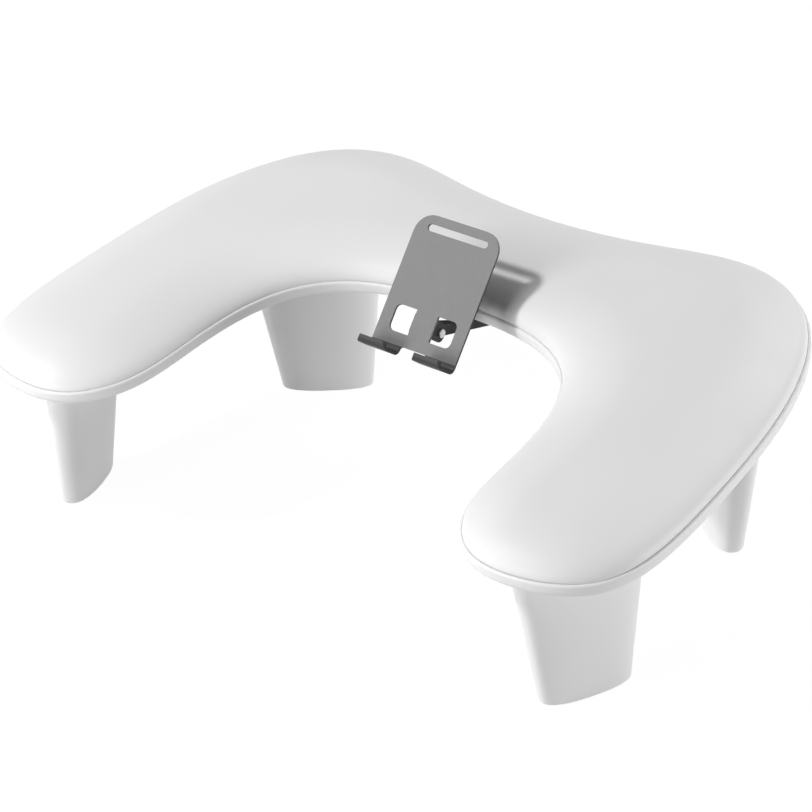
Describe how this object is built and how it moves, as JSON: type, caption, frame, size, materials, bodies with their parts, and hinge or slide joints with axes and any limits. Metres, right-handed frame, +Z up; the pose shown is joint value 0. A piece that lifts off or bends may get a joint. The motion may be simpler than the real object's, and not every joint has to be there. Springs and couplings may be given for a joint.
{
  "type": "padded manicure armrest",
  "caption": "U-shaped padded armrest on four moulded legs, sloping to the front, with a sheet-metal phone holder that tilts on a bracket under the bridge.",
  "frame": {"origin": "middle of the footprint, on the surface the feet stand on", "axes": "+Z up, the user sits at -Y, +X to the user's right; the cushion is highest at +Y"},
  "size_m": [0.462, 0.2925, 0.1724],
  "materials": {
    "white_plastic": "satin",
    "white_leather": "satin",
    "foam": "matte",
    "board": "matte",
    "black_rubber": "matte",
    "zinc_steel": "satin",
    "grey_metal": "satin",
    "black_metal": "satin",
    "nylon": "matte"
  },
  "bodies": {
    "armrest": {"base_shell": "white_plastic", "cushion_cover": "white_leather", "cushion_foam": "foam", "cushion_board": "board", "foot_pad_front_left": "black_rubber", "foot_pad_front_right": "black_rubber", "foot_pad_rear_left": "black_rubber", "foot_pad_rear_right": "black_rubber", "board_screw_1": "zinc_steel", "board_screw_2": "zinc_steel", "board_screw_3": "zinc_steel", "board_screw_4": "zinc_steel", "board_screw_5": "zinc_steel", "board_screw_6": "zinc_steel", "holder_bracket": "black_metal", "bracket_screw_front": "zinc_steel", "bracket_screw_rear": "zinc_steel", "friction_washer_left": "nylon", "friction_washer_right": "nylon"},
    "holder": {"holder_plate": "grey_metal", "pivot_screw": "zinc_steel", "pivot_nut": "zinc_steel"}
  },
  "joints": [
    {"name": "holder_tilt", "type": "hinge", "parent": "armrest", "child": "holder", "pos_m": [0, 0.0109, 0.1179], "axis": [1, 0, 0], "range_deg": [-28, 30]}
  ]
}
